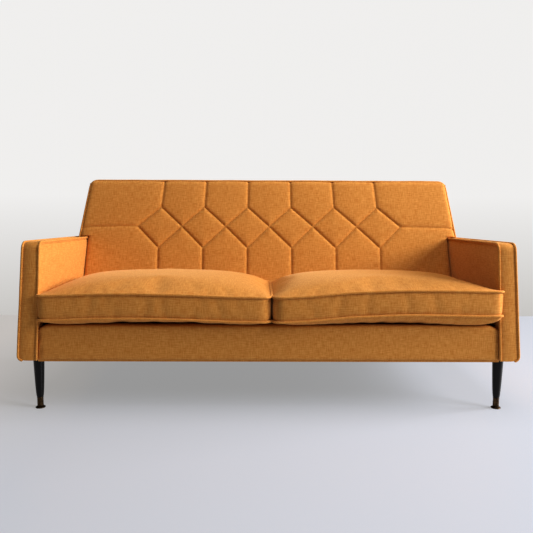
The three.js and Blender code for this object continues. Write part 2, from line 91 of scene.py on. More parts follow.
# %% The camera
CAMERA_PLACE = (-0.0279, -2.394, 0.7409)
LOOK_RIGHT, LOOK_DOWN, ROLL = math.radians(0.47), math.radians(6.0), math.radians(0.24)
camera_data = bpy.data.cameras.new("front_camera")
camera_data.lens = 39.06
camera_data.sensor_width = 36.0
camera = placed("front_camera", camera_data)
aim = Matrix.Rotation(-LOOK_RIGHT, 4, "Z") @ Matrix.Rotation(math.pi / 2 - LOOK_DOWN, 4, "X")
camera.matrix_world = Matrix.Translation(CAMERA_PLACE) @ aim @ Matrix.Rotation(ROLL, 4, "Z")
bpy.context.scene.camera = camera
print("camera at", [round(x, 3) for x in camera.location])

# %% [markdown]
# ## Nodes and colours
# Every finish below is a small tree of shader nodes. One function adds a node, sets its options and
# inputs, and links whatever it is given as a socket. Colours are written as sRGB hex, the way a
# paint or dye is matched on a screen, and one function turns them into the linear values that the
# shader needs. The short ones after it are the steps that every finish repeats.

# %% Helpers for finishes
def linear(colour):
    parts = [int(colour[i : i + 2], 16) / 255 for i in (1, 3, 5)]
    return (*(p / 12.92 if p <= 0.04045 else ((p + 0.055) / 1.055) ** 2.4 for p in parts), 1.0)


def add(tree, kind, inputs=None, **settings):
    node = tree.nodes.new("ShaderNode" + kind)
    for setting, value in settings.items():
        setattr(node, setting, value)
    for socket, value in (inputs or {}).items():
        if isinstance(value, bpy.types.NodeSocket):
            tree.links.new(value, node.inputs[socket])
        else:
            node.inputs[socket].default_value = value
    return node


def finish(name, **sockets):
    material = bpy.data.materials.new(name)
    material.use_nodes = True
    shader = material.node_tree.nodes["Principled BSDF"]
    for socket, value in sockets.items():
        shader.inputs[socket.replace("_", " ")].default_value = value
    return material, material.node_tree, shader


def maths(tree, operation, *values):
    """One step of arithmetic on sockets and numbers."""
    return add(tree, "Math", dict(enumerate(values)), operation=operation).outputs[0]


def stretched(tree, place, scale):
    return add(tree, "VectorMath", {0: place, 1: scale}, operation="MULTIPLY").outputs[0]


def noise_at(tree, place, scale, detail):
    return add(tree, "TexNoise", {"Vector": place, "Scale": scale, "Detail": detail}).outputs[0]


def paint(tree, socket, factor, dark, light, low, high):
    """Mixes two colours by how far a factor is from low to high."""
    spread = add(tree, "MapRange", {0: factor, 1: low, 2: high})
    mixed = add(tree, "Mix", {0: spread.outputs[0], 6: linear(dark), 7: linear(light)}, data_type="RGBA")
    tree.links.new(mixed.outputs[2], socket)


def grain_bump(tree, shader, height, strength, distance):
    bump = add(tree, "Bump", {"Height": height, "Strength": strength, "Distance": distance})
    tree.links.new(bump.outputs[0], shader.inputs["Normal"])


# %% [markdown]
# ## Woven upholstery
# The cover is a plain weave of slub wool yarn, dyed mustard. A slub yarn swells and thins along its
# length, so the cloth shows short streaks along both threads, and the crossings make a faint grid.
# Wool is matt, with a soft warm sheen where it is seen edge-on. A real thread is about 1.4 mm, too
# fine to show at this distance, so the threads are drawn 2.8 mm wide. The weave could be unwrapped
# onto each panel. Here it is laid out from the place of each point, on the plane that its surface
# faces, so that it keeps one scale on every panel and needs no unwrapping.

# %% The mustard cloth
THREAD = 2.8 * MM
SLUB_LENGTH = 26 * MM


def woven_wool(name, dark, light):
    material, tree, shader = finish(
        name, Roughness=0.86, Sheen_Weight=0.32, Sheen_Roughness=0.45, Specular_IOR_Level=0.15
    )
    shader.inputs["Sheen Tint"].default_value = linear("#ffd9a0")
    point = add(tree, "SeparateXYZ", {0: add(tree, "TexCoord").outputs["Object"]})
    # The cloth's two directions: x or y across, and z upward or y on a surface that lies flat.
    facing = add(tree, "VectorMath", {0: add(tree, "NewGeometry").outputs["Normal"]}, operation="ABSOLUTE")
    across, along, up = add(tree, "SeparateXYZ", {0: facing.outputs[0]}).outputs
    is_top = maths(tree, "GREATER_THAN", up, maths(tree, "MAXIMUM", across, along))
    is_side = maths(tree, "GREATER_THAN", across, maths(tree, "MAXIMUM", along, up))
    weft_place = add(tree, "Mix", {0: is_side, 2: point.outputs[0], 3: point.outputs[1]}).outputs[0]
    warp_place = add(tree, "Mix", {0: is_top, 2: point.outputs[2], 3: point.outputs[1]}).outputs[0]
    cloth = add(tree, "CombineXYZ", {0: weft_place, 1: warp_place}).outputs[0]

    def streaks(threads_across, threads_up):
        scale = (1 / threads_across, 1 / threads_up, 1.0)
        return noise_at(tree, stretched(tree, cloth, scale), 1.0, 1.0)

    # Slubs are the streaks along each thread, and the waves' product is the grid of crossings.
    warp = streaks(1.3 * THREAD, SLUB_LENGTH)
    weft = streaks(SLUB_LENGTH, 1.3 * THREAD)
    both = maths(tree, "ADD", warp, weft)

    def wave(place):
        return maths(tree, "SINE", maths(tree, "MULTIPLY", place, math.pi / THREAD))

    crossing = maths(tree, "MULTIPLY", wave(weft_place), wave(warp_place))
    yarn = maths(tree, "MULTIPLY_ADD", crossing, 0.13, both)
    paint(tree, shader.inputs["Base Color"], yarn, dark, light, 0.65, 1.35)
    grain_bump(tree, shader, yarn, 0.22, 0.7 * MM)
    return material


mustard = woven_wool("slub_woven_mustard_wool", "#bd7832", "#d69a50")
print("cloth finish:", mustard.name)

# %% [markdown]
# ## Timber, lacquer and metals
# The legs are turned beech under black lacquer: a thin hard film, smooth and glossy, with the grain
# barely telegraphing through. Ferrules and glides are solid brass left to age, brown and dull in
# patches. The inner frame is plain sawn beech. A metal keeps the default index of refraction.

# %% The finishes of the legs and the frame
def lacquered_beech():
    material, tree, shader = finish(
        "black_lacquered_beech", Roughness=0.28, Coat_Weight=0.04, Coat_Roughness=0.1, Specular_IOR_Level=0.2
    )
    place = add(tree, "TexCoord").outputs["Object"]
    across_grain, along_grain = 700.0, 18.0
    fibres = stretched(tree, place, (across_grain, across_grain, along_grain))
    grain = noise_at(tree, fibres, 1.0, 3.0)
    paint(tree, shader.inputs["Base Color"], grain, "#060504", "#120e0c", 0.3, 0.75)
    grain_bump(tree, shader, grain, 0.05, 0.1 * MM)
    return material


def aged_metal(name, dark, light, patch, polished, dull):
    material, tree, shader = finish(name, Metallic=1.0)
    place = add(tree, "TexCoord").outputs["Object"]
    patches = noise_at(tree, place, 1 / patch, 5.0)
    scratches = noise_at(tree, place, 1500.0, 2.0)
    wear = maths(tree, "MULTIPLY_ADD", scratches, 0.35, patches)
    paint(tree, shader.inputs["Base Color"], wear, dark, light, 0.45, 0.85)
    rough = add(tree, "MapRange", {0: wear, 1: 0.4, 2: 0.9, 3: dull, 4: polished})
    tree.links.new(rough.outputs[0], shader.inputs["Roughness"])
    grain_bump(tree, shader, scratches, 0.15, 0.1 * MM)
    return material


def sawn_beech(axis):
    material, tree, shader = finish("sawn_beech_along_" + axis, Roughness=0.72, IOR=1.5)
    place = add(tree, "TexCoord").outputs["Object"]
    ring = 4 * MM
    scale = [1 / ring] * 3
    scale["xyz".index(axis)] = 1 / (30 * ring)
    fibres = stretched(tree, place, scale)
    pores, grain = noise_at(tree, fibres, 9.0, 2.0), noise_at(tree, fibres, 1.0, 6.0)
    figure = maths(tree, "MULTIPLY_ADD", pores, 0.3, grain)
    paint(tree, shader.inputs["Base Color"], figure, "#9a7448", "#cda877", 0.45, 0.85)
    grain_bump(tree, shader, figure, 0.25, 0.4 * MM)
    return material


black_lacquer = lacquered_beech()
aged_brass = aged_metal("aged_turned_brass", "#1d150f", "#5a4630", 9 * MM, 0.3, 0.62)
zinc_steel = aged_metal("zinc_plated_pressed_steel", "#6d7073", "#b9bcc0", 14 * MM, 0.3, 0.5)
beech = {axis: sawn_beech(axis) for axis in "xyz"}
print("hard finishes:", black_lacquer.name, aged_brass.name, zinc_steel.name, len(beech), "beech")

# %% [markdown]
# ## Webbing, lining and foam
# Jute webbing is a coarse golden-brown band. The deck and the dust cover are black lining cloth, a
# fine flat weave with no shine. Cushion foam is a pale polyurethane full of small open cells. These
# show only when a cushion is lifted or the sofa is turned over, but each still gets its own surface.

# %% The finishes of the inner soft materials
def plain_cloth(name, dark, light, thread, roughness):
    material, tree, shader = finish(name, Roughness=roughness, Specular_IOR_Level=0.2)
    place = add(tree, "TexCoord").outputs["Object"]
    fibres = noise_at(tree, place, 0.5 / thread, 4.0)
    wave = {"Vector": place, "Scale": 0.314 / thread, "Distortion": 0.6}
    across, along = (add(tree, "TexWave", wave, bands_direction=axis).outputs[1] for axis in "XY")
    yarn = maths(tree, "MULTIPLY_ADD", maths(tree, "MULTIPLY", across, along), 0.4, fibres)
    paint(tree, shader.inputs["Base Color"], yarn, dark, light, 0.3, 0.9)
    grain_bump(tree, shader, yarn, 0.35, thread / 3)
    return material


def open_cell_foam():
    material, tree, shader = finish("cut_polyurethane_foam", Roughness=0.95, Specular_IOR_Level=0.1)
    place = add(tree, "TexCoord").outputs["Object"]
    cells = add(tree, "TexVoronoi", {"Vector": place, "Scale": 1 / (2 * MM)}).outputs[0]
    paint(tree, shader.inputs["Base Color"], cells, "#cdb877", "#efe4b4", 0.1, 0.6)
    grain_bump(tree, shader, cells, 0.5, 0.5 * MM)
    return material


jute = plain_cloth("jute_webbing_weave", "#6b5230", "#b08e58", 2.2 * MM, 0.92)
lining = plain_cloth("black_platform_lining", "#0d0c0b", "#2b2826", 1.6 * MM, 0.95)
foam = open_cell_foam()
print("soft finishes:", jute.name, lining.name, foam.name)

# %% [markdown]
# ## The frame's own pieces
# Wood, webbing, plates and lining keep their frame meshes. They only take their finish, with the
# beech grain running the long way of each piece, as a joiner cuts it. The dust cover under the frame
# is a sheet of lining stapled flat and tight, so it is as large as its own box.

# %% Dress the frame's pieces
PLAIN_FINISHES = {"jute_webbing": jute, "black_lining": lining, "zinc_steel": zinc_steel}
for node_name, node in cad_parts.items():
    low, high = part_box(node_name)
    size = high - low
    long_way = "xyz"[max(range(3), key=lambda i: size[i])]
    slot_name = node.data.materials[0].name.split(".")[0]
    node.data.materials.clear()
    node.data.materials.append(PLAIN_FINISHES.get(slot_name, beech[long_way]))
print(len(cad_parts), "frame pieces dressed")

# %% [markdown]
# ## Making a closed piece
# Cloth over padding has thickness, so every soft piece is a closed shell: a grid of points for the
# side that shows, a second grid behind it, and a rim that joins them. A cell that is left out of the
# grid makes a notch. One function turns points and faces into an object that rides on its body, and
# another does so for a piece of the mustard cover.

# %% Helpers for closed shells
def make_piece(name, points, faces, material, slot, body=SOFA, stands_for=()):
    mesh = bpy.data.meshes.new(name)
    mesh.from_pydata([tuple(map(float, p)) for p in points], [], [tuple(map(int, f)) for f in faces])
    shape = bmesh.new()
    shape.from_mesh(mesh)
    bmesh.ops.delete(shape, geom=[v for v in shape.verts if not v.link_faces])
    bmesh.ops.recalc_face_normals(shape, faces=shape.faces)
    for face in shape.faces:
        face.smooth = True
    shape.to_mesh(mesh)
    shape.free()
    mesh.materials.append(material)
    piece = placed(name, mesh)
    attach(piece, body)
    if stands_for:
        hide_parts(*stands_for)
    return piece


def upholstered(name, points, faces, stands_for=(), body=SOFA):
    return make_piece(name, points, faces, mustard, "mustard_upholstery", body, stands_for)


def shell(front, back, cells=None):
    rows, columns = front.shape[:2]
    kept = np.ones((rows - 1, columns - 1), bool) if cells is None else cells
    corner = np.arange(rows * columns).reshape(rows, columns)
    behind = rows * columns
    faces, rim = [], set()
    for i, j in np.argwhere(kept):
        quad = [corner[i, j], corner[i, j + 1], corner[i + 1, j + 1], corner[i + 1, j]]
        faces.append(quad)
        faces.append([v + behind for v in reversed(quad)])
        for a, b in zip(quad, quad[1:] + quad[:1]):
            if (b, a) in rim:
                rim.remove((b, a))
            else:
                rim.add((a, b))
    faces += [[b, a, a + behind, b + behind] for a, b in sorted(rim)]
    return np.concatenate([front.reshape(-1, 3), back.reshape(-1, 3)]), faces


def unit(vectors):
    return vectors / np.maximum(np.linalg.norm(vectors, axis=-1, keepdims=True), 1e-12)


def run_of(line):
    """The direction in which a line runs, at each of its points."""
    return unit(np.gradient(line, axis=0))


def normals_of(grid):
    return unit(np.cross(np.gradient(grid, axis=0), np.gradient(grid, axis=1)))


def grid_of(x, y, z):
    """A grid of points from coordinates that may each be a row, a column, one number or a grid."""
    return np.stack(np.broadcast_arrays(x, y, z), 2)


def notched(x, ear, rows):
    """All cells of a grid but the ear at both its sides, in some rows."""
    cells = np.ones((x.shape[0] - 1, x.shape[1] - 1), bool)
    cells[np.ix_(rows, np.r_[: ear.shape[1], -ear.shape[1] : 0])] = False
    return cells


def lumps(grid, size, amount):
    """Soft hand-stuffed unevenness, of a given size from one lump to the next."""
    flat = grid.reshape(-1, 3) / size
    return amount * np.array([noise.noise(Vector(p)) for p in flat]).reshape(grid.shape[:-1])


# %% [markdown]
# ## Piping
# Piping is a cord wrapped in a strip of the cover and caught in the seam. It hides the join and
# draws the outline of every cushion. A bevelled curve could draw it. A tube swept along the seam's own
# points gives a closed mesh at once, with a frame carried along the path so that it never twists,
# and round ends where it stops.

# %% A helper that sweeps a tube
PIPING = 4.2 * MM
TUBE_SIDES = 10
ROUND_END = ((0.0, 0.35), (0.3, 0.75), (0.75, 1.0))  # shares of the radius: how far along, how wide


def tube(path, radius, closed=False):
    path = np.asarray(path, float)
    ahead = np.roll(path, -1, 0) - np.roll(path, 1, 0)
    if not closed:
        ahead[0], ahead[-1] = path[1] - path[0], path[-1] - path[-2]
    ahead = unit(ahead)
    side = np.cross(ahead[0], (0.3, 0.5, 0.8))
    sides = []
    for direction in ahead:
        side = side - direction * side.dot(direction)
        side /= np.linalg.norm(side)
        sides.append(side)
    sides = np.array(sides)
    others = np.cross(ahead, sides)
    turn = 0.0
    if closed:
        turn = math.atan2(sides[-1].dot(others[0]), sides[-1].dot(sides[0]))

    def round_end(end, sign):
        inward = sign * ahead[end] * radius
        return [(path[end] + inward * s, sides[end], others[end], radius * r) for s, r in ROUND_END]

    rows = [(*row, radius) for row in zip(path, sides, others)]
    if not closed:
        rows = round_end(0, 1) + rows[1:-1] + round_end(-1, -1)[::-1]
    points = []
    for k, (centre, one, other, size) in enumerate(rows):
        start = -turn * k / len(rows)
        for m in range(TUBE_SIDES):
            angle = start + math.tau * m / TUBE_SIDES
            points.append(centre + size * (math.cos(angle) * one + math.sin(angle) * other))
    count = len(rows)
    faces = []
    for k in range(count if closed else count - 1):
        for m in range(TUBE_SIDES):
            n = (m + 1) % TUBE_SIDES
            a, b = k * TUBE_SIDES, (k + 1) % count * TUBE_SIDES
            faces.append([a + m, a + n, b + n, b + m])
    if not closed:
        faces.append(list(range(TUBE_SIDES))[::-1])
        faces.append([(count - 1) * TUBE_SIDES + m for m in range(TUBE_SIDES)])
    return points, faces


def travelled(points):
    """How far along a line each of its points is."""
    return np.concatenate([[0.0], np.cumsum(np.linalg.norm(np.diff(points, axis=0), axis=1))])


def at_shares(points, shares):
    """The points at some shares of a line's length."""
    gone = travelled(points)
    return np.stack([np.interp(shares * gone[-1], gone, axis) for axis in points.T], 1)


def resampled(points, step, closed=False):
    points = np.concatenate([points, points[:1]]) if closed else np.asarray(points, float)
    count = max(2, round(travelled(points)[-1] / step))
    shares = np.linspace(0, 1, count + 1)
    return at_shares(points, shares[:-1] if closed else shares)


def rounded(corners, rounding, sides=6):
    """An open line through corners, with a round of the given radius at each inner one."""
    line = [np.asarray(corners[0], float)]
    for before, corner, after in zip(corners, corners[1:], corners[2:]):
        before, corner, after = (np.asarray(p, float) for p in (before, corner, after))
        start = corner + (before - corner) / np.linalg.norm(before - corner) * rounding
        end = corner + (after - corner) / np.linalg.norm(after - corner) * rounding
        for t in np.linspace(0, 1, sides):
            line.append((1 - t) ** 2 * start + 2 * t * (1 - t) * corner + t * t * end)
    line.append(np.asarray(corners[-1], float))
    return np.array(line)


# %% [markdown]
# ## Planes of the sofa
# The arms lean: both faces come in towards the top, and the top falls a little to the rear. The
# frame's boxes give their edges at the foot and at the top, and everything that is sewn to the arms
# takes its place from these few lines.

# %% Levels and edges taken from the frame
strip_low, strip_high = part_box("right_arm_front_strip")
panel_low, panel_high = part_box("right_arm_outer_panel")
pad_low, pad_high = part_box("right_arm_inner_pad")
OUTER_PANEL, INNER_PAD = 10 * MM, 16 * MM
FOOT_Z, ARM_Z = strip_low.z, strip_high.z
FRONT_Y, REAR_Y = strip_low.y, strip_high.y
OUT_FOOT, OUT_TOP = panel_high.x + 1 * MM, panel_low.x + OUTER_PANEL
IN_FOOT, IN_TOP = pad_high.x - INNER_PAD, pad_low.x
ARM_FALL = 18 * MM
ARM_CORNER = 26 * MM
FOOT_CORNER = 18 * MM


def rise(z):
    return (np.asarray(z) - FOOT_Z) / (ARM_Z - FOOT_Z)


def arm_inner_x(z):
    return IN_FOOT + (IN_TOP - IN_FOOT) * rise(z)


def arm_outer_x(z):
    low = np.clip((FOOT_CORNER - (np.asarray(z) - FOOT_Z)) / FOOT_CORNER, 0, 1)
    return OUT_FOOT + (OUT_TOP - OUT_FOOT) * rise(z) - FOOT_CORNER * (1 - np.sqrt(1 - low**2))


def arm_top_z(y):
    return ARM_Z - ARM_FALL * (np.asarray(y) - FRONT_Y) / (REAR_Y - FRONT_Y)


print("arm top", round(OUT_TOP - IN_TOP, 4), "wide, foot", round(OUT_FOOT - IN_FOOT, 4))

# %% [markdown]
# ## Arms
# An arm is a slab with three covers. The inside panel is softly padded, the outside panel is cloth
# over board, and one strip runs up the front, over the round corner and back along the top. Piping
# joins the strip to each panel. Each cover is a grid: it dips at the piping, swells a few
# millimetres away from it, and carries small hand-stuffed lumps.

# %% The arm's side outline
UP_STEPS, BACK_STEPS, ACROSS = 52, 74, 15


def arm_edge():
    """Side view of the seam, as y and z: up the front, round the corner, back along the top."""
    corners = [(FRONT_Y, FOOT_Z), (FRONT_Y, ARM_Z), (REAR_Y, float(arm_top_z(REAR_Y)))]
    line = rounded(corners, ARM_CORNER, 9)
    turn = len(line) // 2
    foot = FOOT_Z + FOOT_CORNER * (1 - np.cos(np.linspace(0, math.pi / 2, 7)))
    risers = np.array([(FRONT_Y, z) for z in foot])
    up = np.concatenate([risers[-1:], line[1 : turn + 1]])
    front = at_shares(up, np.linspace(0, 1, UP_STEPS - len(risers) + 2)[1:])
    top = at_shares(line[turn:], np.linspace(0, 1, BACK_STEPS))
    return np.concatenate([risers, front]), top


def filled(low, high, left, right, s, t):
    """A grid inside four edges that meet; s and t say how far along them each column and row is."""
    s, t = s[None, :, None], t[:, None, None]
    ruled = (1 - t) * low[None] + t * high[None] + (1 - s) * left[:, None] + s * right[:, None]
    corners = (1 - s) * (1 - t) * low[0] + s * (1 - t) * low[-1]
    return ruled - (corners + (1 - s) * t * high[0] + s * t * high[-1])


def side_grid(left, top, low_z):
    """Fills the side view between the front edge, the top edge, a low level and the rear."""
    low = np.stack([top[:, 0], np.full(len(top), low_z)], 1)
    low[0] = (left[0][0], low_z)
    t = (left[:, 1] - left[0, 1]) / (left[-1, 1] - left[0, 1])
    s = (top[:, 0] - top[0, 0]) / (top[-1, 0] - top[0, 0])
    right = np.stack([np.full(len(left), REAR_Y), low_z + t * (top[-1, 1] - low_z)], 1)
    return filled(low, top, left, right, s, t)


def seam_distance(grid2, line):
    """How far each point of a flat grid is from a line of points."""
    flat = grid2.reshape(-1, 2)
    best = np.full(len(flat), 1e9)
    for a, b in zip(line[:-1], line[1:]):
        run = b - a
        t = np.clip((flat - a) @ run / max(run @ run, 1e-12), 0, 1)
        best = np.minimum(best, np.linalg.norm(flat - a - t[:, None] * run, axis=1))
    return best.reshape(grid2.shape[:-1])


edge_up, edge_back = arm_edge()
edge_line = np.concatenate([edge_up, edge_back[1:]])
print("arm seam length", round(float(travelled(edge_line)[-1]), 3))

# %% The arm's covers
SEAM_DIP, CREST, ROLL_OFF = 2.0 * MM, 3.5 * MM, 16 * MM


def swell(distance, dip=SEAM_DIP, crest=CREST, reach=ROLL_OFF):
    """The padding's height at some distance from the nearest seam, where the cloth is pulled in."""
    return crest - (crest + dip) * np.exp(-distance / reach)


def sided(points, side):
    return points * np.array([side, 1.0, 1.0])


def arm_panel(side_name, side, which):
    inner = which == "inner_pad"
    low_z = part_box("right_side_rail")[0].z if inner else FOOT_Z
    left = edge_up.copy()
    if inner:
        left[:, 1] = low_z + (edge_up[:, 1] - FOOT_Z) / (edge_up[-1, 1] - FOOT_Z) * (edge_up[-1, 1] - low_z)
    flat = side_grid(left, edge_back, low_z)
    x = arm_inner_x(flat[..., 1]) if inner else arm_outer_x(flat[..., 1])
    grid = grid_of(x, flat[..., 0], flat[..., 1])
    outward = normals_of(grid)
    outward *= np.where((outward[..., :1].mean() < 0) == inner, 1, -1)
    amount = swell(seam_distance(flat, edge_line)) + lumps(grid + side, 0.11, 1.2 * MM)
    if not inner:
        rear = np.exp(-(REAR_Y - flat[..., 0]) / (8 * MM))
        amount = amount * (1 - rear) - 2.5 * MM * rear
    thick = 11 * MM if inner else 8 * MM
    points, faces = shell(grid + outward * amount[..., None], grid - outward * thick)
    name = f"{side_name}_arm_{which}"
    return upholstered(name + "_cover", sided(points, side), faces, [name])


def arm_strip(side_name, side):
    across = np.cos(math.pi * np.linspace(0, 1, ACROSS))
    across = 0.5 - 0.5 * across * (0.75 + 0.25 * across**2)
    inner, outer = arm_inner_x(edge_line[:, 1]), arm_outer_x(edge_line[:, 1])
    x = inner[:, None] + (outer - inner)[:, None] * across[None]
    grid = grid_of(x, edge_line[:, :1], edge_line[:, 1:])
    run = run_of(edge_line)
    outward = np.stack([np.zeros(len(run)), -run[:, 1], run[:, 0]], 1)[:, None]
    to_seam = np.minimum(x - inner[:, None], outer[:, None] - x)
    amount = swell(to_seam, 2.2 * MM, 3.0 * MM, 9 * MM) + lumps(grid + side * 2, 0.06, 1.3 * MM)
    points, faces = shell(grid + outward * amount[..., None], grid - outward * 9 * MM)
    name = f"{side_name}_arm_front_strip"
    return upholstered(name + "_cover", sided(points, side), faces, [name])


def arm_piping(side_name, side):
    run = run_of(edge_line)
    inset = edge_line + np.stack([-run[:, 1], run[:, 0]], 1) * 0.6 * MM
    for which, edge, inward in (("inner", arm_inner_x, 1), ("outer", arm_outer_x, -1)):
        x = edge(edge_line[:, 1]) - inward * 0.4 * MM
        path = np.stack([x, inset[:, 0], inset[:, 1]], 1)
        path[:, 0] += lumps(path + side * 3, 0.09, 1.0 * MM)
        cord = tube(sided(resampled(path, 6 * MM), side), PIPING)
        upholstered(f"{side_name}_arm_{which}_piping", *cord)


for side_name, side in BOTH_SIDES:
    for which in ("inner_pad", "outer_panel"):
        arm_panel(side_name, side, which)
    arm_strip(side_name, side)
    arm_piping(side_name, side)
print("arms covered and piped")

# %% [markdown]
# ## The quilted back
# The inside back is one padded panel that leans back. A row of six diamonds is sewn through it, with
# plain seams running from their points to the top edge, down behind the cushions, and out to both
# sides. Each seam pulls the cloth into a narrow V, and the fields between stay almost flat. A sculpted
# or displaced plane could show this. Here the grid has whole cells between the points of a diamond,
# so that the sloping seams run along its corners and stay sharp.

# %% The back's plane and outline
back_panel_low, back_panel_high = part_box("outside_back")
RAKE = math.radians(14.3)
BACK_TOP_Z, BACK_FOOT_Z = back_panel_high.z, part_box("seat_deck")[1].z
BACK_FOOT_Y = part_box("back_pad")[0].y
UP_BACK = np.array([0.0, math.sin(RAKE), math.cos(RAKE)])
OUT_BACK = np.array([0.0, -math.cos(RAKE), math.sin(RAKE)])
BACK_TOP_HALF, BACK_TAPER = 0.800, 0.163
TUCK = 5 * MM
print("back leans", round(math.degrees(RAKE), 1), "degrees, top at", round(BACK_TOP_Z, 3))


def back_half(z):
    return BACK_TOP_HALF + BACK_TAPER * (BACK_TOP_Z - np.asarray(z))


def on_back(x, z):
    up = (np.asarray(z) - BACK_FOOT_Z) / math.cos(RAKE)
    base = np.array([0.0, BACK_FOOT_Y, BACK_FOOT_Z])
    return base + np.asarray(x)[..., None] * np.array([1.0, 0, 0]) + up[..., None] * UP_BACK


# %% The pattern of seams
DIAMONDS = 6
PITCH_TOP, PITCH_LOW = 188 * MM, 198 * MM
POINT_HIGH, POINT_MIDDLE, POINT_LOW = 0.732, 0.647, 0.553
PATTERN_SHIFT = 5 * MM


def pattern_x(k, z):
    """x of the k-th diamond's middle at a level; the seams fan out a little on the way down."""
    fan = np.clip((BACK_TOP_Z - np.asarray(z)) / (BACK_TOP_Z - POINT_LOW), 0, 1)
    pitch = PITCH_TOP + (PITCH_LOW - PITCH_TOP) * fan**0.6
    return PATTERN_SHIFT + pitch * (np.asarray(k) - (DIAMONDS - 1) / 2)


def quilt_seams():
    def point(k, z):
        return np.array([float(pattern_x(k, z)), z])

    seams = []
    for k in range(DIAMONDS):
        high, low = point(k, POINT_HIGH), point(k, POINT_LOW)
        left, right = point(k - 0.5, POINT_MIDDLE), point(k + 0.5, POINT_MIDDLE)
        seams += [(high, left), (high, right), (low, left), (low, right)]
        seams += [(point(k, BACK_TOP_Z + 0.02), high), (low, point(k, BACK_FOOT_Z))]
    for end, side in ((-0.5, -1), (DIAMONDS - 0.5, 1)):
        bend = np.array([side * 0.80, POINT_MIDDLE - 5 * MM])
        corner = np.array([side * 0.86, POINT_MIDDLE - 14 * MM])
        seams += [(point(end, POINT_MIDDLE), bend), (bend, corner)]
    return seams


seams = quilt_seams()
print(len(seams), "stitched seams, diamonds", round(PITCH_LOW / MM), "mm wide")

# %% The quilted panel
CELLS = 26
GROOVE, GROOVE_REACH = 7.2 * MM, 3.4 * MM
PILLOW, PILLOW_REACH = 3.4 * MM, 30 * MM
VALLEY_ROUND = 0.7 * MM
EDGE_TUCK, EDGE_REACH = 11 * MM, 6 * MM
CORNER_REACH, CORNER_DROP = 30 * MM, 12 * MM
SIDE_COLUMNS, EAR_COLUMNS = 30, 9
BACK_PADDING = 40 * MM


def spaced(start, end, step):
    return np.linspace(start, end, max(2, round(abs(end - start) / step) + 1))


def back_levels():
    top_roll = BACK_TOP_Z - np.array([9, 6, 4, 2.5, 1.2, 0]) * MM
    shoulder = float(arm_top_z(0.2)) + TUCK
    levels = [
        spaced(BACK_FOOT_Z + 2 * MM, 0.43, 11 * MM),
        spaced(0.43, POINT_LOW, 4.5 * MM)[1:],
        np.linspace(POINT_LOW, POINT_MIDDLE, CELLS + 1)[1:],
        np.linspace(POINT_MIDDLE, POINT_HIGH, CELLS + 1)[1:],
        spaced(POINT_HIGH, BACK_TOP_Z - 14 * MM, 4.5 * MM)[1:],
        top_roll,
    ]
    z = np.concatenate(levels)
    z[np.argmin(abs(z - shoulder))] = shoulder
    return z, shoulder


def back_columns(z, shoulder):
    """x of every grid point: the pattern, the plain sides, and an ear past each side above the arms."""
    k = np.linspace(-0.5, DIAMONDS - 0.5, 2 * CELLS * DIAMONDS + 1)
    quilted = pattern_x(k[None, :], z[:, None])
    between = (arm_inner_x(np.minimum(z, ARM_Z)) - TUCK)[:, None]
    side_share = 1 - (1 - np.linspace(0, 1, SIDE_COLUMNS)[1:]) ** 1.35
    right = quilted[:, -1:] + (between - quilted[:, -1:]) * side_share
    left = quilted[:, :1] + (-between - quilted[:, :1]) * side_share
    full = np.maximum(back_half(z)[:, None], between + 4 * MM)
    ear = between + (full - between) * (1 - (1 - np.linspace(0, 1, EAR_COLUMNS)[1:]) ** 1.5)
    x = np.concatenate([-ear[:, ::-1], left[:, ::-1], quilted, right, ear], 1)
    return x, notched(x, ear, z[:-1] < shoulder - 1e-6)


def quilt_height(x, level, shoulder):
    """How far the quilted cloth stands out: sewn down in the seams, full between, tucked at the edge."""
    flat = np.stack([x, level], 2)
    groove = np.full(x.shape, 1e9)
    for a, b in seams:
        loose = 0.0 if max(abs(a[0]), abs(b[0])) < 0.7 else 2.2 * MM
        groove = np.minimum(groove, seam_distance(flat, np.array([a, b])) + loose)
    soft = np.sqrt(groove**2 + VALLEY_ROUND**2)
    height = GROOVE * (1 - np.exp(-soft / GROOVE_REACH)) + PILLOW * (1 - np.exp(-soft / PILLOW_REACH))
    to_top = (BACK_TOP_Z - level) / math.cos(RAKE)
    to_side = np.where(level > shoulder, back_half(level), arm_inner_x(level) - TUCK) - np.abs(x)
    to_edge = np.minimum(to_top, np.maximum(to_side, 0))
    height = height - EDGE_TUCK * np.exp(-to_edge / EDGE_REACH) - 1 * MM
    return height + lumps(on_back(x, level), 0.13, 1.3 * MM)


def folded(faces, depth):
    """Cuts the front's squares in two along the lower diagonal, so that a sloping seam has no steps."""
    cut = []
    for a, b, c, d in faces:
        if max(a, b, c, d) >= len(depth):
            cut.append((a, b, c, d))
        elif depth[a] + depth[c] < depth[b] + depth[d]:
            cut += [(a, b, c), (a, c, d)]
        else:
            cut += [(b, c, d), (b, d, a)]
    return cut


# %% Sew the quilted panel
def back_panel():
    z, shoulder = back_levels()
    x, cells = back_columns(z, shoulder)
    level = np.repeat(z[:, None], x.shape[1], 1)
    corner = np.clip((np.abs(x) - (back_half(level) - CORNER_REACH)) / CORNER_REACH, 0, 1)
    near_top = np.clip((level - (BACK_TOP_Z - CORNER_REACH)) / CORNER_REACH, 0, 1)
    level = level - CORNER_DROP * corner**2 * near_top**2
    height = quilt_height(x, level, shoulder)
    grid = on_back(x, level)
    front = grid + OUT_BACK * height[..., None]
    inset = grid * np.array([0.985, 1, 1]) - np.array([0, 0, 10 * MM]) * near_top[..., None]
    points, faces = shell(front, inset - OUT_BACK * BACK_PADDING, cells)
    return upholstered("quilted_back_panel", points, folded(faces, height.reshape(-1)), ["back_pad"])


quilted_back = back_panel()
print("quilted back:", len(quilted_back.data.vertices), "points")

# %% [markdown]
# ## The back's border, piping and outside
# A plain strip goes over the top and down the sides of the back, from the piped front edge to the
# outside back, which closes the sofa from behind in one piece, down to the foot of the arms. It is
# blind stitched, so its edges turn in softly and need no piping.

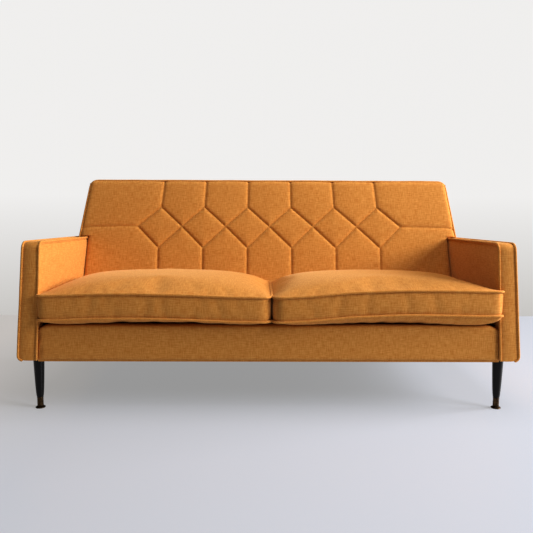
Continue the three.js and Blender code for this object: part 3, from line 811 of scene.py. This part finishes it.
# %% The border and its piping
def back_outline(inset, low):
    half, top = float(back_half(BACK_TOP_Z)) - inset, BACK_TOP_Z - inset
    foot = float(back_half(low)) - inset
    line = rounded([(-foot, low), (-half, top), (half, top), (foot, low)], 32 * MM, 10)
    return resampled(line, 9 * MM)


def front_y_of_back(z):
    return BACK_FOOT_Y + (np.asarray(z) - BACK_FOOT_Z) * math.tan(RAKE)


def back_border():
    line = back_outline(0, float(arm_top_z(0.3)) + 1.5 * MM)
    run = run_of(line)
    share = np.linspace(0, 1, 13)
    start, end = front_y_of_back(line[:, 1]) + 5 * MM, REAR_Y
    y = start[:, None] + (end - start)[:, None] * share
    grid = grid_of(line[:, :1], y, line[:, 1:])
    push = np.stack([-run[:, 1], np.zeros(len(run)), run[:, 0]], 1)[:, None]
    to_seam = np.minimum(share, 1 - share)[None] * (end - start)[:, None]
    amount = swell(to_seam, 1.5 * MM, 3.0 * MM, 14 * MM) + lumps(grid, 0.1, 1.2 * MM)
    made = shell(grid + push * amount[..., None], grid - push * 8 * MM)
    return upholstered("back_border_strip", *made, ["back_border"])


def back_piping():
    line = back_outline(-0.6 * MM, float(arm_top_z(0.2)) - 4 * MM)
    path = np.stack([line[:, 0], front_y_of_back(line[:, 1]) + 1.0 * MM, line[:, 1]], 1)
    path[:, 2] += lumps(path, 0.12, 1.2 * MM)
    return upholstered("back_piping", *tube(resampled(path, 6 * MM), PIPING))


back_border()
cord = back_piping()
print("border and", cord.name, "sewn, piping", round(2 * PIPING / MM, 1), "mm thick")

# %% The outside back
TOP_ROUND = 20 * MM
FINE_FROM = 0.97  # the share of the half width where the columns close up


def outside_levels(shoulder):
    foot = FOOT_Z + FOOT_CORNER * (1 - np.cos(np.linspace(0, math.pi / 2, 6)))
    sides = spaced(FOOT_Z + FOOT_CORNER, shoulder - 6 * MM, 16 * MM)[1:]
    neck = [shoulder - 3 * MM, shoulder]
    back = spaced(shoulder + 5 * MM, BACK_TOP_Z - 18 * MM, 14 * MM)
    return np.concatenate([foot, sides, neck, back, BACK_TOP_Z - np.array([12, 8, 5, 2, 0]) * MM])


def outside_back():
    shoulder = float(arm_top_z(REAR_Y))
    z = outside_levels(shoulder)
    near_top = np.clip((z - BACK_TOP_Z + TOP_ROUND) / TOP_ROUND, 0, 1)
    inner = back_half(z) - TOP_ROUND * (1 - np.sqrt(1 - near_top**2))
    below = z <= shoulder + 1e-6
    outer = np.where(below, arm_outer_x(np.minimum(z, ARM_Z)), inner + 5 * MM)
    inner = np.where(below, np.minimum(inner, outer - 8 * MM), inner)
    side_steps = spaced(FINE_FROM, 1, 0.006)[1:]
    wide_steps = spaced(-FINE_FROM, FINE_FROM, 0.02)[1:]
    middle = np.concatenate([spaced(-1, -FINE_FROM, 0.006), wide_steps, side_steps])
    ear = inner[:, None] + (outer - inner)[:, None] * np.linspace(0, 1, 7)[1:]
    x = np.concatenate([-ear[:, ::-1], inner[:, None] * middle, ear], 1)
    cells = notched(x, ear, z[1:] > shoulder + 1e-6)
    level = np.repeat(z[:, None], x.shape[1], 1)
    limit = np.where(level <= shoulder + 1e-6, outer[:, None], inner[:, None])
    to_edge = np.minimum(np.minimum(limit - np.abs(x), BACK_TOP_Z - level), level - FOOT_Z)
    to_neck = np.minimum(to_edge, np.abs(shoulder - level))
    to_edge = np.maximum(np.where(np.abs(x) > inner[:, None], to_neck, to_edge), 0)
    skin_y = back_panel_high.y - 2 * MM
    grid = grid_of(x, skin_y, level)
    puff = swell(to_edge, 5.0 * MM, 4.0 * MM, 12 * MM) + lumps(grid, 0.2, 1.6 * MM)
    rearward = np.array([0, 1, 0])
    made = shell(grid + rearward * puff[..., None], grid - rearward * (skin_y - back_panel_low.y), cells)
    return upholstered("outside_back_cover", *made, ["outside_back"])


outside_back()
print("back border, piping and outside back sewn")

# %% [markdown]
# ## Rail cover and deck
# The front rail is wrapped in the same cloth: under the rail, up its front, and over its top edge to
# the deck. Its ends are pulled down beside the arms, which rounds the top corners and leaves a
# slanting fold. The deck under the cushions is black platform cloth over the webbing, and it dips
# between the straps.

# %% The rail cover
RAIL_COLUMNS = 181
FOLD_Z = 0.300
TOP_REACH = 30 * MM
END_DROP, END_REACH = 11 * MM, 48 * MM
rail_low, rail_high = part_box("front_rail_cover")


def rail_cover():
    front, top = rail_low.y, rail_high.z
    corners = [(front + 26 * MM, FOOT_Z), (front, FOOT_Z), (front, top), (rail_high.y, top)]
    profile = resampled(rounded(corners, 9 * MM, 7), 5 * MM)
    share = np.linspace(-1, 1, RAIL_COLUMNS)
    share = np.sin(share * math.pi / 2) * 0.35 + share * 0.65
    half = arm_inner_x(profile[:, 1]) - 1.5 * MM
    grid = grid_of(half[:, None] * share, profile[:, :1], profile[:, 1:])
    z = grid[..., 2]
    to_end = half[:, None] - np.abs(grid[..., 0])
    run = run_of(profile)
    upward = np.sign(z[:, 0] - (FOOT_Z + top) / 2)
    push = np.stack([np.zeros(len(run)), -np.abs(run[:, 1]), run[:, 0] * upward], 1)[:, None]
    amount = swell(to_end, 4 * MM, 1.5 * MM, 7 * MM) + lumps(grid, 0.14, 1.6 * MM)
    high = np.clip((z - (top - TOP_REACH)) / TOP_REACH, 0, 1)
    drop = END_DROP * np.clip(1 - to_end / END_REACH, 0, 1) ** 2 * high
    fold_at = 3 * MM + 13 * MM * np.clip((FOLD_Z - z) / (FOLD_Z - FOOT_Z), 0, 1)
    fold = np.exp(-(((to_end - fold_at) / (2.6 * MM)) ** 2)) * np.clip((FOLD_Z - z) / (20 * MM), 0, 1)
    fallen = np.array([0, 0, 1]) * drop[..., None]
    skin = grid + push * (amount - 3.2 * MM * fold)[..., None] - fallen
    return upholstered("front_rail_wrap", *shell(skin, grid - push * 7 * MM - fallen), ["front_rail_cover"])


rail_cover()

# %% The deck
STRAP_PITCH = (0.214, 0.24)


def platform():
    low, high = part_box("seat_deck")
    x, y = spaced(low.x, high.x, 14 * MM), spaced(low.y, high.y, 14 * MM)
    grid = grid_of(x[None], y[:, None], high.z)
    to_edge = np.minimum(np.minimum(grid[..., 0] - low.x, high.x - grid[..., 0]), grid[..., 1] - low.y)
    along, across = (np.cos(grid[..., i] * math.tau / pitch) for i, pitch in enumerate(STRAP_PITCH))
    straps = 1.1 * MM * along * across
    dip = straps - 1.6 * MM - 2.5 * MM * np.exp(-to_edge / (6 * MM)) + lumps(grid, 0.09, 0.6 * MM)
    top = grid + np.array([0, 0, 1]) * dip[..., None]
    made = shell(top, grid - np.array([0, 0, high.z - low.z]))
    return make_piece("seat_platform", *made, lining, "black_lining", stands_for=["seat_deck"])


platform()
print("rail cover and deck in place")

# %% [markdown]
# ## Box cushions
# A loose cushion is a foam slab in a sewn cover: a top and a bottom panel joined by a boxing strip,
# with piping in both seams. It could be shaped by hand, but cloth under pressure finds the true form
# by itself: the panels swell, the corners pull in and the boxing, cut a little long, creases between
# its seams. The start is a domed box on a regular grid, so the seams are known rows of points before
# and after the solver, and the piping can follow them. The seams are pinned while it is blown up.

# %% The cushion's start shape
SEAT_X, SEAT_Y = 62, 42
BOX_SHARES = (0.05, 0.13, 0.3, 0.5, 0.7, 0.87, 0.95)
PIPE_LOW, PIPE_HIGH = 333 * MM, 421 * MM
CROWN, BELLY = 52 * MM, 17 * MM
PLAN_CORNER = 36 * MM
SPLIT_X = 9 * MM
SLACK = 2 * MM


def plan_edges(x0, x1, y0, y1):
    """The cushion seen from above, as four edges of grid points that meet at rounded corners."""
    def edge(a, b, count):
        t = np.linspace(0, 1, count)[:, None]
        line = np.array(a) * (1 - t) + np.array(b) * t
        length = np.linalg.norm(np.subtract(b, a))
        for corner, away in ((a, t[:, 0] * length), (b, (1 - t[:, 0]) * length)):
            pull = np.clip(1 - away / PLAN_CORNER, 0, 1) ** 2 * PLAN_CORNER * 0.33
            line = line + np.outer(pull, np.where(np.array(corner) == (x0, y0), 1, -1))
        return line

    front, rear = (edge((x0, y), (x1, y), SEAT_X) for y in (y0, y1))
    left, right = (edge((x, y0), (x, y1), SEAT_Y) for x in (x0, x1))
    return front, rear, left, right


def cushion_panels(side, front_y, crown):
    """The top and the bottom panel, domed, and leaning back with the sofa's back towards the rear."""
    rear_y = BACK_FOOT_Y - 5 * MM
    beside_arm = float(arm_inner_x((PIPE_LOW + PIPE_HIGH) / 2)) - 4 * MM
    x0, x1 = (SPLIT_X + 2 * MM, beside_arm) if side > 0 else (-beside_arm, SPLIT_X - 2 * MM)
    edges = plan_edges(x0, x1, front_y, rear_y)
    plan = filled(*edges, np.linspace(0, 1, SEAT_X), np.linspace(0, 1, SEAT_Y))
    across, along = np.linspace(-1, 1, SEAT_X)[None, :], np.linspace(-1, 1, SEAT_Y)[:, None]

    def panel(z):
        lean = (z - BACK_FOOT_Z) * math.tan(RAKE) * (plan[..., 1] - front_y) / (rear_y - front_y)
        return grid_of(plan[..., 0], plan[..., 1] + lean, z)

    dome = (1 - np.abs(across) ** 4.0) * (1 - np.abs(along) ** 3.0)
    flat = (1 - np.abs(across) ** 10) * (1 - np.abs(along) ** 10)
    return panel(PIPE_HIGH + crown * dome), panel(PIPE_LOW - BELLY * flat)


def cushion_start(side, front_y, crown):
    """Points and faces of the box, and the rings of points round it from the top seam to the bottom one."""
    top, bottom = (panel.reshape(-1, 3) for panel in cushion_panels(side, front_y, crown))
    corner = np.arange(SEAT_X * SEAT_Y).reshape(SEAT_Y, SEAT_X)
    loop = np.concatenate([corner[0, :-1], corner[:-1, -1], corner[-1, :0:-1], corner[:0:-1, 0]])
    rows = [top[loop] * (1 - share) + bottom[loop] * share for share in BOX_SHARES]
    rings = [loop, *(np.arange(len(loop)) + len(top) + len(loop) * k for k in range(len(rows)))]
    below = len(top) + len(loop) * len(rows)
    rings.append(loop + below)
    faces = []
    for i in range(SEAT_Y - 1):
        for j in range(SEAT_X - 1):
            quad = [corner[i, j], corner[i, j + 1], corner[i + 1, j + 1], corner[i + 1, j]]
            faces += [quad, [v + below for v in reversed(quad)]]
    for one, other in zip(rings, rings[1:]):
        for m in range(len(loop)):
            n = (m + 1) % len(loop)
            faces.append([one[n], one[m], other[m], other[n]])
    return np.concatenate([top, *rows, bottom]), faces, rings


# %% Blow it up with the cloth solver
PRESSURE, LAST_FRAME, MOST_MOVE = 0.5, 20, 30 * MM


def scratch_object(name, points, faces):
    mesh = bpy.data.meshes.new(name)
    mesh.from_pydata(points.tolist(), [], [tuple(map(int, f)) for f in faces])
    return placed(name, mesh)


def points_after(scratch):
    """Where the modifiers put an object's points, and the faces between them; the object is removed."""
    evaluated = scratch.evaluated_get(bpy.context.evaluated_depsgraph_get())
    places = np.array([v.co for v in evaluated.data.vertices])
    faces = [tuple(p.vertices) for p in evaluated.data.polygons]
    bpy.context.scene.frame_set(1)
    bpy.data.objects.remove(scratch)
    return places, faces


def blown_up(points, faces, rings):
    cloth_object = scratch_object("cushion_cloth", points, faces)
    seam = cloth_object.vertex_groups.new(name="seam")
    seam.add([int(v) for row in (rings[0], rings[-1]) for v in row], 1.0, "REPLACE")
    boxing = cloth_object.vertex_groups.new(name="boxing")
    boxing.add([int(v) for row in rings[1:-1] for v in row], 1.0, "REPLACE")
    cloth = cloth_object.modifiers.new("cloth", "CLOTH")
    cloth.settings.quality = 8
    cloth.settings.mass = 0.3
    cloth.settings.tension_stiffness = cloth.settings.compression_stiffness = 40
    cloth.settings.bending_stiffness = 1.5
    cloth.settings.vertex_group_mass = "seam"
    cloth.settings.effector_weights.gravity = 0
    cloth.settings.use_pressure = True
    cloth.settings.uniform_pressure_force = PRESSURE
    cloth.settings.vertex_group_shrink = "boxing"
    cloth.settings.shrink_min = -0.003
    cloth.settings.shrink_max = -0.03
    cloth.collision_settings.use_collision = False
    cloth.point_cache.frame_start, cloth.point_cache.frame_end = 1, LAST_FRAME
    for number in range(1, LAST_FRAME + 1):
        bpy.context.scene.frame_set(number)
    moved = points_after(cloth_object)[0] - points
    length = np.linalg.norm(moved, axis=1, keepdims=True)
    print("cloth moved up to", round(float(length.max()) / MM, 1), "mm, kept to", MOST_MOVE / MM)
    return points + moved * np.minimum(1, MOST_MOVE / np.maximum(length, 1e-9))


def subdivided(points, faces):
    coarse = scratch_object("cushion_fine", points, faces)
    coarse.modifiers.new("subdivision", "SUBSURF").levels = 1
    return points_after(coarse)


# %% Lay it on the seat
MIDDLE_Y = -0.10
LIP_PLACES = (0.03, 0.18, 0.36, 0.58, 0.76, 1.0)  # from the split to the arm
LIP_MM = {1: (-2, 4, 18, 26, 26, 23), -1: (-1, 1, 7, 11, 10, 3)}  # how far the lip lifts there
REACH_AND_SPILL = {1: (15 * MM, 15 * MM), -1: (11 * MM, 10 * MM)}  # forwards, and over the arm


def settled(points, side):
    """Flat where the cushion rests: on the deck, against the back, the arm and its neighbour."""
    deck = BACK_FOOT_Z + 1.5 * MM
    points = points.copy()
    x, y, z = points.T
    z[:] = np.maximum(z, deck + 0.15 * np.maximum(0, z - deck))
    y[:] = np.minimum(y, front_y_of_back(z) - 3 * MM)
    x[:] = side * np.clip(side * x, side * SPLIT_X + 2 * MM, arm_inner_x(z) - 3 * MM)
    return points


def laid(points, side):
    """Lies as used: the front lip waves, sinks at the split and spills past the arm's front."""
    points = settled(points, side)
    x, y, z = points.T
    out = np.clip(side * x / 0.8, 0, 1)
    front = np.clip((MIDDLE_Y - y) / 0.27, 0, 1) ** 2
    height = np.clip((z - BACK_FOOT_Z) / (PIPE_LOW - BACK_FOOT_Z), 0, 1) ** 2
    lift = np.interp(out, LIP_PLACES, LIP_MM[side]) * MM
    sink = 15 * MM * np.clip((y + 0.34) / 0.4, 0, 1) * np.exp(-np.abs(x - SPLIT_X) / (45 * MM))
    z[:] = z + (lift * front - sink) * height
    reach, spill = REACH_AND_SPILL[side]
    y[:] = y - reach * np.clip((MIDDLE_Y - y) / 0.2, 0, 1)
    ahead = np.clip((FRONT_Y - 1 * MM - y) / (8 * MM), 0, 1)
    x[:] = x + side * spill * ahead * np.clip((side * x - 0.70) / 0.09, 0, 1)
    return points


# %% Make both cushions
CREASE = 4.5 * MM
CORD_OUT = 3.2 * MM
CROWN_FROM_CLOTH = 18 * MM


def creased(shape, rings):
    """Pulls in the boxing next to both seams, so that a crease runs beside each cord."""
    centre = shape.mean(0)
    for ring in (rings[1], rings[-2]):
        away = shape[ring, :2] - centre[:2]
        away[:, 0] *= 1.1
        shape[ring, :2] -= unit(away) * CREASE
    return shape


def cushion_piping(side_name, fine, rings):
    middle = fine[rings[len(rings) // 2]].mean(0)
    for which, ring in (("top", rings[0]), ("bottom", rings[-1])):
        path = fine[ring]
        outward = path - middle
        outward[:, 2] = 0
        path = resampled(path + unit(outward) * CORD_OUT, 7 * MM, closed=True)
        cord = tube(path, 1.1 * PIPING, closed=True)
        upholstered(f"{side_name}_cushion_{which}_piping", *cord, body=f"{side_name}_cushion")


def cushion_core(side_name, points, faces):
    name = f"{side_name}_cushion"
    core = make_piece(name + "_core", points, faces, foam, "cushion_foam", name, [name + "_foam"])
    core.data.update()
    inward = [v.co - v.normal * 5 * MM for v in core.data.vertices]
    for vertex, place in zip(core.data.vertices, inward):
        vertex.co = place
    return core


def cushion(side_name, side):
    front_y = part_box(f"{side_name}_seat_cushion")[0].y + SLACK
    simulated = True
    start, faces, rings = cushion_start(side, front_y, CROWN if simulated else CROWN + CROWN_FROM_CLOTH)
    shape = creased(blown_up(start, faces, rings) if simulated else start, rings)
    fine, fine_faces = subdivided(settled(shape, side), faces)
    fine = laid(fine, side)
    stands_for = [f"{side_name}_seat_cushion"]
    body = f"{side_name}_cushion"
    cover = upholstered(f"{side_name}_cushion_cover", fine, fine_faces, stands_for, body)
    cushion_piping(side_name, fine, rings)
    cushion_core(side_name, fine[: len(start)], faces)
    print(side_name, "cushion:", len(cover.data.vertices), "points")


for side_name, side in BOTH_SIDES:
    cushion(side_name, side)

# %% [markdown]
# ## Legs and feet
# Each leg is turned beech, tapering to a brass ferrule, and stands on a flared glide whose stem
# turns in the leg. All three are lathe work: a profile spun round the leg's own axis, with more
# sides than the frame's version so that its outline stays round. The glide rides on its own body.

# %% Spin the profiles
LATHE_SIDES = 48
LEG_FOOT = ((9.5, 0.2),)
LEG_TOP = ((19, -5), (18.7, -2), (17.5, 0))
FERRULE_FOOT = ((9.8, 0), (10.8, 0.3), (11.3, 1.2), (10.9, 2.4))
FERRULE_LIP = ((10.9, -3), (11.5, -2.2), (11.5, -0.8), (11.0, -0.1), (9.8, 0))
GLIDE_RIM = ((15.5, 0), (16.8, 0.3), (17.5, 1.2), (17.6, 2.2), (16.9, 3.4))
GLIDE = (*GLIDE_RIM, (14.6, 4.6), (12.2, 5.6), (10.2, 6.6), (8.6, 7))


def turned(profile, centre):
    points, faces = [], []
    count = len(profile)
    for m in range(LATHE_SIDES):
        angle = math.tau * m / LATHE_SIDES
        x, y = math.cos(angle), math.sin(angle)
        n = (m + 1) % LATHE_SIDES
        for radius, height in profile:
            points.append((centre[0] + radius * x, centre[1] + radius * y, height))
        for k in range(count - 1):
            faces.append([m * count + k, n * count + k, n * count + k + 1, m * count + k + 1])
    faces.append([m * count for m in range(LATHE_SIDES)][::-1])
    faces.append([m * count + count - 1 for m in range(LATHE_SIDES)])
    return points, faces


def cut(profile, base):
    """A lathe profile given in mm, radius and height, from a level in metres."""
    return [(radius * MM, base + height * MM) for radius, height in profile]


def leg_set(side_name, end):
    stem = f"{side_name}_{end}"
    low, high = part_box(stem + "_glide")
    centre = ((low.x + high.x) / 2, (low.y + high.y) / 2)
    foot, lip = (corner.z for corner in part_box(stem + "_ferrule"))
    rise_of_shaft = FOOT_Z - 12 * MM - lip
    shares = np.linspace(0, 1, 12) ** 1.5
    shaft = [((11.2 + 7.8 * t**0.55) * MM, lip + 0.4 * MM + t * rise_of_shaft) for t in shares]
    leg = cut(LEG_FOOT, lip) + shaft + cut(LEG_TOP, FOOT_Z)
    ferrule = cut(FERRULE_FOOT, foot) + cut(FERRULE_LIP, lip)
    for piece, profile, material, slot, body in (
        ("leg", leg, black_lacquer, "black_lacquered_wood", SOFA),
        ("ferrule", ferrule, aged_brass, "aged_brass", SOFA),
        ("glide", cut(GLIDE, 0), aged_brass, "aged_brass", stem + "_glide"),
    ):
        made = turned(profile, centre)
        make_piece(f"{stem}_turned_{piece}", *made, material, slot, body, [f"{stem}_{piece}"])


for side_name, _ in BOTH_SIDES:
    for end in ("front", "rear"):
        leg_set(side_name, end)
print("four legs turned")

# %% [markdown]
# ## Floor, backdrop and light
# The sofa stands on a pale, slightly glossy floor in front of a bright backdrop. Two large soft
# windows on the right, one high and one at the side, leave the right arm's inside in shade and
# brighten the left one's. A ceiling light and a faint sky fill the rest. A white room also throws
# light back onto its floor from all round; rather than build the room, the floor is given a faint
# glow of its own, warmer towards the left. The backdrop glows too, and no other ray sees it.

# %% The stage
def stage_mesh(name, points, colour, roughness):
    mesh = bpy.data.meshes.new(name)
    mesh.from_pydata(points, [], [tuple(range(len(points)))])
    material, tree, shader = finish(name + "_paint", Roughness=roughness)
    shader.inputs["Base Color"].default_value = linear(colour)
    mesh.materials.append(material)
    made = placed(name, mesh)
    made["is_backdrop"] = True
    return made


def glow(made, axis, first, last, start, end):
    """Light of its own, from one colour to another along an axis."""
    tree = made.data.materials[0].node_tree
    place = add(tree, "SeparateXYZ", {0: add(tree, "TexCoord").outputs["Object"]}).outputs[axis]
    shader = tree.nodes["Principled BSDF"]
    paint(tree, shader.inputs["Emission Color"], place, first, last, start, end)
    shader.inputs["Emission Strength"].default_value = 1.0


FLOOR_REACH, FLOOR_REAR = 4.5, 1.47
front_corners = [(-FLOOR_REACH, -FLOOR_REACH, 0), (FLOOR_REACH, -FLOOR_REACH, 0)]
rear_corners = [(FLOOR_REACH, FLOOR_REAR, 0), (-FLOOR_REACH, FLOOR_REAR, 0)]
floor = stage_mesh("studio_floor", front_corners + rear_corners, "#8a8d98", 0.42)
# Painted light: the floor glows of its own, brighter and warmer towards the left, which lifts the sofa's
# shadow on the floor there.
glow(floor, 0, "#bab4ac", "#a2a2a2", -1.5, -0.7)


def backdrop():
    made = stage_mesh("studio_backdrop", [(0, 0, 0), (1, 0, 0), (0, 1, 0)], "#000000", 1.0)
    dome = bmesh.new()
    bmesh.ops.create_uvsphere(dome, u_segments=32, v_segments=16, radius=14.0)
    dome.to_mesh(made.data)
    dome.free()
    glow(made, 2, "#cdcbc8", "#f2f1f0", -2.2, 1.0)
    for ray in ("diffuse", "glossy", "transmission", "volume_scatter", "shadow"):
        setattr(made, "visible_" + ray, False)


backdrop()
print("floor and backdrop set")

# %% The lights
def soft_light(name, place, aim_at, size, watts, colour):
    data = bpy.data.lights.new(name, "AREA")
    data.shape = "DISK"
    data.size = size
    data.energy = watts
    data.color = linear(colour)[:3]
    light = placed(name, data)
    light.location = place
    light.visible_camera = False
    light.rotation_euler = (Vector(aim_at) - Vector(place)).to_track_quat("-Z", "Y").to_euler()


soft_light("high_window", (4.4, -2.0, 2.5), (0, 0, 0.5), 2.2, 236, "#ffffff")
soft_light("side_window", (4.9, 0.1, 1.8), (0, 0, 0.5), 2.2, 310, "#ffffff")
soft_light("pale_ceiling", (0.4, -0.5, 3.6), (0, 0, 0), 2.6, 66, "#ffffff")
world = bpy.data.worlds.new("faint_sky")
world.use_nodes = True
world.node_tree.nodes["Background"].inputs[0].default_value = linear("#eef2fa")
world.node_tree.nodes["Background"].inputs[1].default_value = 0.06
bpy.context.scene.world = world
# The standard view keeps the cloth's dye true; the lower gamma deepens shades as on a printed sheet.
bpy.context.scene.view_settings.view_transform = "Standard"
bpy.context.scene.view_settings.gamma = 0.84

# %% [markdown]
# ## Sizes
# The soft pieces may stand a little proud of the frame's box, but no more than cloth does.

# %% Compare the sizes and finish
shown_low, shown_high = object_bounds()
grown = [*(frame_low - shown_low), *(shown_high - frame_high)]
print("grown by mm:", [round(x / MM, 1) for x in grown])
